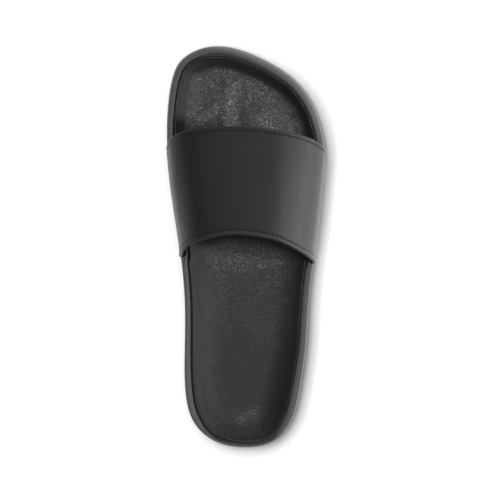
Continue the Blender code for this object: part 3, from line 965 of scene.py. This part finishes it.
class SLIDE_OT_outsole(bpy.types.Operator):
    """Smooth the outsole's edge and give it its rubber"""

    bl_idname = "slide.outsole"
    bl_label = "Outsole"

    def execute(self, context):
        piece = merged_copy("outsole", "outsole_rubber")
        crease_edges(piece.data, math.radians(38), 1.0)
        subdivide(piece, 2)
        smooth_shade(piece, math.radians(35))
        up = normals_of(piece.data)[:, 2]
        out = RimLine().measure(points_of(piece.data))[0]
        # The bevel attribute marks where the painted highlight goes
        set_attribute(piece.data, "bevel", ramp(up, *BEVEL_UP) * ramp(out, *BEVEL_OUT))
        set_attribute(piece.data, "under", ramp(up, *UNDER_UP))
        piece.data.materials.append(blown_rubber())
        settle(piece, "outsole", "outsole")
        return {"FINISHED"}


# Shares of the paler colour on the midsole's side, partly the mould's grit and partly a painted reflection of
# the bright
# floor: everywhere, round the toe and more on its lateral side, along the medial side, and behind the heel on
# its medial and lateral half
SIDE_SAND_AND_SHEEN = 0.16
TOE_SAND_AND_SHEEN = 0.37
LATERAL_TOE_SAND_AND_SHEEN = 0.30
MEDIAL_SAND_AND_SHEEN = 0.84
MEDIAL_HEEL_SAND_AND_SHEEN = 0.12
LATERAL_HEEL_SAND_AND_SHEEN = -0.10


def sand_and_sheen_share(mesh):
    """How much paler the side is painted at each point, partly for the mould's grit and partly as a painted
    reflection of the floor in the steep side: none on the rim, which looks up.
    """
    points, normals = points_of(mesh), normals_of(mesh)
    toe = ramp(points[:, 1], 0.060, 0.090)
    medial = ramp(normals[:, 0], 0.2, -0.4)
    heel = ramp(normals[:, 1], -0.3, -0.7)
    share = SIDE_SAND_AND_SHEEN + toe * (TOE_SAND_AND_SHEEN + LATERAL_TOE_SAND_AND_SHEEN * (1 - medial))
    share += MEDIAL_SAND_AND_SHEEN * medial * (1 - heel) * (1 - toe)
    share += heel * (MEDIAL_HEEL_SAND_AND_SHEEN * medial + LATERAL_HEEL_SAND_AND_SHEEN * (1 - medial))
    return ramp(normals[:, 2], 0.90, 0.55) * share


class SLIDE_OT_midsole(bpy.types.Operator):
    """Round the midsole's rim and give its side the mould's texture, painted paler partly as a reflection of
    the floor
    """

    bl_idname = "slide.midsole"
    bl_label = "Midsole"

    def execute(self, context):
        piece = merged_copy("midsole", "midsole_foam")
        crease_edges(piece.data, math.radians(50), 0.8)
        subdivide(piece, 2)
        thin_midsole_rim(piece.data)
        tuck_midsole_foot(piece.data)
        # The side is painted paler where it is steep, partly for grit and partly as a painted reflection
        set_attribute(piece.data, "side", sand_and_sheen_share(piece.data))
        smooth_shade(piece, math.radians(40))
        piece.data.materials.append(sparked_foam())
        settle(piece, "midsole", "midsole")
        return {"FINISHED"}


# Soft ridges under the toes: start and end of the crest in plan, half widths to the medial and lateral
# side of it, and share of the ridge height
TOE_RIDGES = (
    ((-0.0360, 0.0855), (-0.0200, 0.1005), 0.0036, 0.0050, 1.0),
    ((-0.0158, 0.0780), (-0.0135, 0.1120), 0.0040, 0.0070, 1.2),
    ((0.0060, 0.0760), (0.0070, 0.0880), 0.0080, 0.0180, 1.1),
)

# Power of the mean that lets the ridges run into each other without a crease
RIDGE_BLEND = 2.5


def distance_to(plan, start, end):
    """Distance of each place from a straight crest in plan, and the way from the crest to the place."""
    start, end = np.array(start), np.array(end)
    along = end - start
    t = np.clip((plan - start) @ along / (along @ along), 0, 1)
    away = plan - start - t[:, None] * along
    return np.linalg.norm(away, axis=1), away


def toe_ridges(plan):
    """Height of the ridges at each place, as a share of the ridge height."""
    height = np.zeros(len(plan))
    for start, end, medial_width, lateral_width, share in TOE_RIDGES:
        distance, away = distance_to(plan, start, end)
        lateral = 0.5 + 0.5 * away[:, 0] / np.maximum(distance, MERGE)
        width = medial_width + (lateral_width - medial_width) * lateral
        height += (share * hump(distance, width)) ** RIDGE_BLEND
    return height ** (1 / RIDGE_BLEND)


# Where the foot's wear has roughened the grain or left it smooth, and where the footbed is painted lighter as
# a highlight
# or darker as shade: the toe ridges' lit slopes, the floor behind the strap and the heel's curve get painted
# light, the hollows between the toe ridges painted shade. Start and end in plan, half width, share
WEAR_AND_LIGHT_PATCHES = (
    ((-0.0108, 0.0820), (-0.0110, 0.1070), 0.0038, 1.0),
    ((-0.0324, 0.0870), (-0.0190, 0.0960), 0.0032, 0.75),
    ((0.0095, 0.0868), (0.0335, 0.0815), 0.0060, 0.90),
    ((-0.0180, -0.0070), (0.0160, -0.0090), 0.0085, 0.55),
    ((-0.0020, -0.1205), (0.0060, -0.1180), 0.0055, 0.45),
    ((-0.0290, 0.0840), (-0.0195, 0.0900), 0.0024, -0.35),
    ((-0.0030, 0.0840), (-0.0042, 0.0960), 0.0032, -0.50),
    ((-0.0440, 0.0830), (-0.0400, 0.1030), 0.0060, 0.10),
)

# Strength of the grain and its paler crests on the walls, at the heel's end, all over the floor, under the
# toes and at the waist. The crests are partly wear and partly painted sheen, so these also paint each part
# lighter or darker
WALL_GRAIN = 0.04
HEEL_END_GRAIN = 0.11
FLOOR_GRAIN = 0.05
TOE_GRAIN = 0.70
WAIST_GRAIN = 0.17
GRAIN_LIMITS = (0.03, 1.4)


def grain_and_light_strength(points, normals):
    """How strongly the grain and its paler crests show, partly as wear and partly as painted sheen and shade
    by place: most under the toes, least on the walls.
    """
    y = points[:, 1]
    floor = ramp(normals[:, 2], 0.80, 0.98)
    toes = ramp(y, 0.060, 0.080)
    waist = ramp(y, 0.010, 0.0) * ramp(y, -0.090, -0.010)
    heel_end = ramp(y, -0.112, -0.124)
    wear_and_light = np.zeros(len(points))
    for start, end, half_width, share in WEAR_AND_LIGHT_PATCHES:
        wear_and_light += share * hump(distance_to(points[:, :2], start, end)[0], half_width)
    floor_grain = FLOOR_GRAIN + TOE_GRAIN * toes + WAIST_GRAIN * waist + wear_and_light
    return np.clip(WALL_GRAIN + HEEL_END_GRAIN * heel_end + floor * floor_grain, *GRAIN_LIMITS)


class SLIDE_OT_footbed(bpy.types.Operator):
    """Model the footbed's toe ridges and give it the embossed grain, whose paler crests also paint sheen and
    shade by place
    """

    bl_idname = "slide.footbed"
    bl_label = "Footbed"

    def execute(self, context):
        piece = merged_copy("footbed", "footbed_foam")
        subdivide(piece, 3)
        mesh = piece.data
        points, normals = points_of(mesh), normals_of(mesh)
        upper = ramp(normals[:, 2], 0.4, 0.8)
        points[:, 2] += toe_ridges(points[:, :2]) * upper * look().footbed.lobe
        set_points(mesh, points)
        # The grain's strength also paints the footbed lighter or darker by place, as painted light and shade
        set_attribute(mesh, "grain", grain_and_light_strength(points, normals))
        widen_footbed_lip(mesh)
        smooth_shade(piece, math.radians(45))
        mesh.materials.append(grained_foam())
        settle(piece, "footbed", "footbed")
        return {"FINISHED"}


def set_strap_run(mesh, outer):
    """Store how far round the arch and along the foot each point of both faces lies, in metres."""
    columns, rows = outer.shape[:2]
    run = np.broadcast_to(run_along(outer[:, rows // 2])[:, None], (columns, rows))
    plan = np.tile(np.stack([run, outer[:, :, 1]], axis=-1).reshape(-1, 2), (2, 1))
    corners = np.empty(len(mesh.loops), int)
    mesh.loops.foreach_get("vertex_index", corners)
    mesh.uv_layers.new(name="strap_run").data.foreach_set("uv", plan[corners].ravel())


def line_inner_face(mesh, columns, rows):
    """Give the inner face between its hems the mesh's second material."""
    hem_rows = stitch_row() + 1
    lined = np.zeros((columns - 1, rows - 1), int)
    lined[:, hem_rows : rows - 1 - hem_rows] = 1
    marks = np.zeros(len(mesh.polygons), int)
    marks[lined.size : 2 * lined.size] = lined.ravel()
    mesh.polygons.foreach_set("material_index", marks)


class SLIDE_OT_strap(bpy.types.Operator):
    """Model the strap's wall with folded, stitched hems and a lining"""

    bl_idname = "slide.strap"
    bl_label = "Strap"

    def execute(self, context):
        form, outer, inner, rims = strap_grid()
        lateral = turned_in(form, outer, inner, 0)
        medial = turned_in(form, outer, inner, -1)
        outer = np.concatenate([[c[0] for c in lateral[::-1]], outer, [c[0] for c in medial]])
        inner = np.concatenate([[c[1] for c in lateral[::-1]], inner, [c[1] for c in medial]])
        mesh = wall_mesh("strap_leather", outer, inner)
        piece = new_piece("strap_leather", mesh)
        columns, rows = outer.shape[:2]
        set_strap_run(mesh, outer)
        end_rims = np.repeat(rims[:1], len(lateral), 0)
        rim = np.concatenate([end_rims, rims, end_rims])
        # The rear hem is painted paler: partly rubbing, partly painted sheen
        hem = ramp(rim, look().strap.hem, look().strap.hem - HEM_FADE)
        hem[:, rows // 2:] = 0
        set_attribute(mesh, "hem", np.tile(hem.ravel(), 2))
        mesh.materials.append(coated_leather())
        mesh.materials.append(knitted_lining())
        line_inner_face(mesh, columns, rows)
        make_normals_outward(piece)
        smooth_shade(piece, math.radians(50))
        settle(piece, "strap", "strap")
        return {"FINISHED"}


# Shares of the thread's width by which a stitch's ends dive into the leather and its middle stands out of
# it, and how far to each side of a stitch the line's direction is taken
STITCH_DIVE = 0.9
STITCH_LIFT = 0.30
STITCH_STEP = 0.001


def stitch_model(choice):
    """One stitch: a round thread whose ends dive into the leather."""
    deselect()
    bpy.ops.mesh.primitive_uv_sphere_add(segments=10, ring_count=8, radius=0.5, location=(0, 0, 0))
    thread = bpy.context.object
    bpy.ops.object.mode_set(mode="EDIT")
    bpy.ops.mesh.select_all(action="SELECT")
    bpy.ops.transform.rotate(value=math.pi / 2, orient_axis="Y", center_override=(0, 0, 0))
    bpy.ops.transform.resize(value=(choice.stitch, choice.thread_width, choice.thread_width))
    bpy.ops.object.mode_set(mode="OBJECT")
    points = points_of(thread.data)
    points[:, 2] -= choice.thread_width * STITCH_DIVE * (2 * points[:, 0] / choice.stitch) ** 4
    faces = [face.vertices[:] for face in thread.data.polygons]
    bpy.data.objects.remove(thread)
    return points, faces


def sewn_row(name, line, shape, shape_faces):
    """A row of stitches along a line of points on the strap."""
    choice = look().strap
    run = run_along(line)
    points, faces = [], []
    for k in range(int(run[-1] / choice.pitch)):
        places = (k + 0.5) * choice.pitch + np.array([-STITCH_STEP, 0, STITCH_STEP])
        before, spot, after = np.column_stack([np.interp(places, run, line[:, c]) for c in range(3)])
        along = (after - before) / np.linalg.norm(after - before)
        away = spot - (AXIS_X, spot[1], AXIS_Z)
        away -= along * (away @ along)
        away /= np.linalg.norm(away)
        lifted = spot + away * choice.thread_width * STITCH_LIFT
        first = len(points) * len(shape)
        points.append(lifted + shape @ np.array([along, np.cross(away, along), away]))
        faces += [tuple(first + v for v in face) for face in shape_faces]
    mesh = bpy.data.meshes.new(name)
    mesh.from_pydata(np.concatenate(points).tolist(), [], faces)
    return mesh


class SLIDE_OT_stitches(bpy.types.Operator):
    """Sew both hems with a row of stitches"""

    bl_idname = "slide.stitches"
    bl_label = "Stitches"

    def execute(self, context):
        outer = strap_grid()[1]
        row = stitch_row()
        thread = sewing_thread()
        shape, shape_faces = stitch_model(look().strap)
        for name, line in (("rear", outer[:, row]), ("front", outer[:, -1 - row])):
            mesh = sewn_row(f"hem_stitches_{name}", line, shape, shape_faces)
            mesh.materials.append(thread)
            piece = new_piece(mesh.name, mesh)
            make_normals_outward(piece)
            smooth_shade(piece, math.radians(80))
            settle(piece, "strap")
        return {"FINISHED"}


# The softboxes: name, place, size and what they light. They look at a point in the middle of the shoe
SOFTBOXES = (
    ("key", (0.98, -0.05, 0.56), (0.11, 0.11), "sole"),
    ("top", (0.12, 0.12, 1.6), (0.26, 0.26), "sole"),
    ("strap", (0.82, 0.553, 0.68), (0.5, 0.5), "strap"),
    ("side", (1.2, 0.0, 0.45), (1.0, 1.6), "strap"),
    ("low", (0.95, 0.0, -0.50), (0.9, 1.0), "strap"),
)
SOFTBOX_AIM = (0, 0, 0.03)

# The point on the floor at the middle of the picture
PICTURE_MIDDLE = (0, 0.0007, 0)


def area_light(name, place, size, power):
    """A white softbox that looks at the shoe."""
    data = bpy.data.lights.new(name, "AREA")
    data.shape = "RECTANGLE"
    data.size, data.size_y = size
    data.energy = power
    lamp = bpy.data.objects.new(name, data)
    lamp.location = place
    lamp.rotation_euler = (Vector(SOFTBOX_AIM) - Vector(place)).to_track_quat("-Z", "Y").to_euler()
    bpy.context.scene.collection.objects.link(lamp)
    return lamp


def object_group(name, members):
    group = bpy.data.collections.new(name)
    for piece in members:
        group.objects.link(piece)
    return group


def link_light(lamp, lit, shading=None):
    """Let a light fall on some objects alone, and let only some of them throw its shadow."""
    lamp.light_linking.receiver_collection = object_group(f"{lamp.name}_lit", lit)
    if shading:
        lamp.light_linking.blocker_collection = object_group(f"{lamp.name}_shading", shading)


def studio_world(choice):
    """A dim room beyond the softboxes, with a pale wall behind what the camera sees."""
    world = bpy.data.worlds.new("pale_room")
    bpy.context.scene.world = world
    world.use_nodes = True
    tree = world.node_tree
    seen = add_node(tree, "LightPath").outputs["Is Camera Ray"]
    level = add_node(tree, "MapRange", {"Value": seen, "To Min": choice.room_light, "To Max": 1.0})
    shade = tree.nodes["Background"]
    shade.inputs["Color"].default_value = (1, 1, 1, 1)
    tree.links.new(level.outputs[0], shade.inputs["Strength"])


def sun_light(name, azimuth, elevation, spread, power):
    """A broad, even light from one direction, azimuth counted from the toes towards the lateral side."""
    data = bpy.data.lights.new(name, "SUN")
    data.angle = math.radians(spread)
    data.energy = power
    lamp = bpy.data.objects.new(name, data)
    turn, lift = math.radians(azimuth), math.radians(elevation)
    away = Vector((math.sin(turn) * math.cos(lift), math.cos(turn) * math.cos(lift), math.sin(lift)))
    lamp.rotation_euler = away.to_track_quat("Z", "Y").to_euler()
    bpy.context.scene.collection.objects.link(lamp)
    return lamp


class SLIDE_OT_studio(bpy.types.Operator):
    """Lay the paper floor, hang the lights and set up the camera"""

    bl_idname = "slide.studio"
    bl_label = "Studio"

    def execute(self, context):
        choice = look().studio
        deselect()
        bpy.ops.mesh.primitive_plane_add(size=40, location=(0, 0, 0))
        floor = bpy.context.object
        floor.name = "paper_floor"
        floor.data.materials.append(seamless_paper())
        floor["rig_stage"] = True
        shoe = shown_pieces()
        studio_world(choice)
        strap = [piece for piece in shoe if piece.get("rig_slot") == "strap"]
        sole = [piece for piece in shoe if piece.get("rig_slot") != "strap"]
        for name, place, size, lit in SOFTBOXES:
            lamp = area_light(f"{name}_softbox", place, size, getattr(choice, f"{name}_power"))
            # The strap's softbox makes no highlight, and the low one shines up through the floor
            lamp.visible_glossy = name != "strap"
            link_light(lamp, strap if lit == "strap" else sole, strap + sole if name == "low" else None)
        sun = sun_light("floor_light", azimuth=-78, elevation=84, spread=20, power=choice.floor_power)
        link_light(sun, [floor], sole)
        camera = bpy.data.cameras.new("camera")
        camera.sensor_width = 36
        camera.lens = camera.sensor_width * choice.camera_height / choice.floor_width
        camera.clip_end = 100
        stand = bpy.data.objects.new("camera", camera)
        context.scene.collection.objects.link(stand)
        aim = Vector(PICTURE_MIDDLE)
        stand.location = aim + Vector((choice.camera_offset, 0, choice.camera_height))
        away = (stand.location - aim).normalized()
        right = Vector((0, 1, 0)).cross(away).normalized()
        stand.rotation_euler = Matrix((right, away.cross(right), away)).transposed().to_euler()
        context.scene.camera = stand
        context.scene.view_settings.view_transform = "Standard"
        return {"FINISHED"}


class SLIDE_PT_panel(bpy.types.Panel):
    """Operators and looks of the slide sandal"""

    bl_idname = "SLIDE_PT_panel"
    bl_label = "Slide Sandal"
    bl_space_type = "VIEW_3D"
    bl_region_type = "UI"
    bl_category = "Slide Sandal"

    def draw(self, context):
        for group in ("strap", "footbed", "sole", "studio"):
            box = self.layout.box()
            settings = getattr(context.scene.slide_looks, group)
            for name in settings.__annotations__:
                box.prop(settings, name)
        for operator in OPERATORS:
            self.layout.operator(operator.bl_idname)


OPERATORS = (
    SLIDE_OT_outsole,
    SLIDE_OT_midsole,
    SLIDE_OT_footbed,
    SLIDE_OT_strap,
    SLIDE_OT_stitches,
    SLIDE_OT_studio,
)
CLASSES = (StrapLook, FootbedLook, SoleLook, StudioLook, SlideLooks, *OPERATORS, SLIDE_PT_panel)


def register():
    for kind in CLASSES:
        bpy.utils.register_class(kind)
    bpy.types.Scene.slide_looks = bpy.props.PointerProperty(type=SlideLooks)


def unregister():
    del bpy.types.Scene.slide_looks
    for kind in reversed(CLASSES):
        bpy.utils.unregister_class(kind)


def main():
    register()
    bpy.ops.slide.outsole()
    bpy.ops.slide.midsole()
    bpy.ops.slide.footbed()
    bpy.ops.slide.strap()
    bpy.ops.slide.stitches()
    bpy.ops.slide.studio()


if __name__ == "__main__":
    main()
